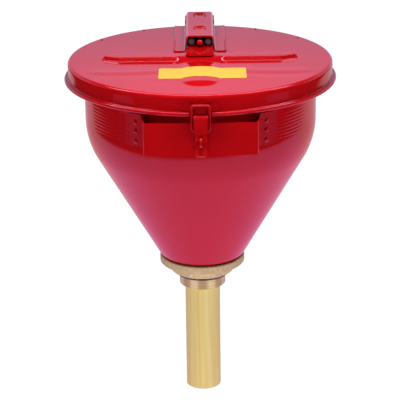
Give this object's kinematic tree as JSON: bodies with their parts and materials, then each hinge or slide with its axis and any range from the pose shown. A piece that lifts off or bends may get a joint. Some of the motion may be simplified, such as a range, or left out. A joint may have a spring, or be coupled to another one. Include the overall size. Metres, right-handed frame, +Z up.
{
  "type": "funnel",
  "caption": "Drum funnel with a hinged self-closing lid, front draw latch, hold-open slide, brass bung adapter and flame-arrester tube.",
  "frame": {"origin": "on the funnel's axis at the top of the spigot's exposed length, just under the sealing ring", "axes": "+Z up along the axis, -Y to the front with the latch, +X to the right seen from the front"},
  "size_m": [0.273, 0.3282, 0.3775],
  "materials": {
    "enamel_red": "gloss enamel",
    "cast_brass": "cast, matt",
    "turned_brass": "turned, bright",
    "drawn_brass": "brushed along its length",
    "zinc_steel": "zinc plated",
    "dark_steel": "oiled, dark",
    "spring_steel": "oil tempered",
    "black_rubber": "matt",
    "fibre": "matt",
    "label_yellow": "printed film, plain"
  },
  "bodies": {
    "funnel": {"bowl": "enamel_red", "latch_bracket": "enamel_red", "latch_bracket_rivets": "enamel_red", "latch_base": "enamel_red", "latch_base_rivets": "enamel_red", "padlock_staple": "enamel_red", "lever_pin": "enamel_red", "hinge_bracket": "enamel_red", "hinge_bracket_rivets": "enamel_red", "hinge_pin": "zinc_steel", "hinge_pin_clip": "zinc_steel", "closing_spring": "spring_steel", "bung_flange": "cast_brass", "inner_locknut": "cast_brass", "neck_gasket": "fibre", "arrester_collar": "turned_brass", "bung_o_ring": "black_rubber", "arrester_tube": "drawn_brass", "arrester_element": "drawn_brass"},
    "lid": {"lid_shell": "enamel_red", "lid_gasket": "black_rubber", "label": "label_yellow", "hinge_arm": "enamel_red", "keeper": "enamel_red", "spring_bridge": "zinc_steel", "fusible_link": "turned_brass", "fusible_head": "enamel_red"},
    "hold_open": {"hold_open_slide": "enamel_red", "guide_rods": "zinc_steel", "rod_washers": "dark_steel", "slide_springs": "spring_steel"},
    "latch_lever": {"latch_lever": "enamel_red"},
    "latch_bail": {"latch_bail": "enamel_red"}
  },
  "joints": [
    {"name": "lid_hinge", "type": "hinge", "parent": "funnel", "child": "lid", "pos_m": [0, 0.146, 0.218], "axis": [-1, 0, 0], "range_deg": [0, 95], "deforming": ["closing_spring"]},
    {"name": "hold_open_slide", "type": "slide", "parent": "lid", "child": "hold_open", "axis": [0, 1, 0], "range_m": [0, 0.008], "deforming": ["slide_springs"]},
    {"name": "latch_lever_pivot", "type": "hinge", "parent": "funnel", "child": "latch_lever", "pos_m": [0, -0.143, 0.2122], "axis": [-1, 0, 0], "range_deg": [0, 108]},
    {"name": "latch_bail_pivot", "type": "hinge", "parent": "latch_lever", "child": "latch_bail", "pos_m": [0, -0.1432, 0.2008], "axis": [-1, 0, 0], "range_deg": [-130, 0]}
  ],
  "couplings": [
    {"joint": "latch_bail_pivot", "follows": "latch_lever_pivot", "ratio": -1.2}
  ]
}
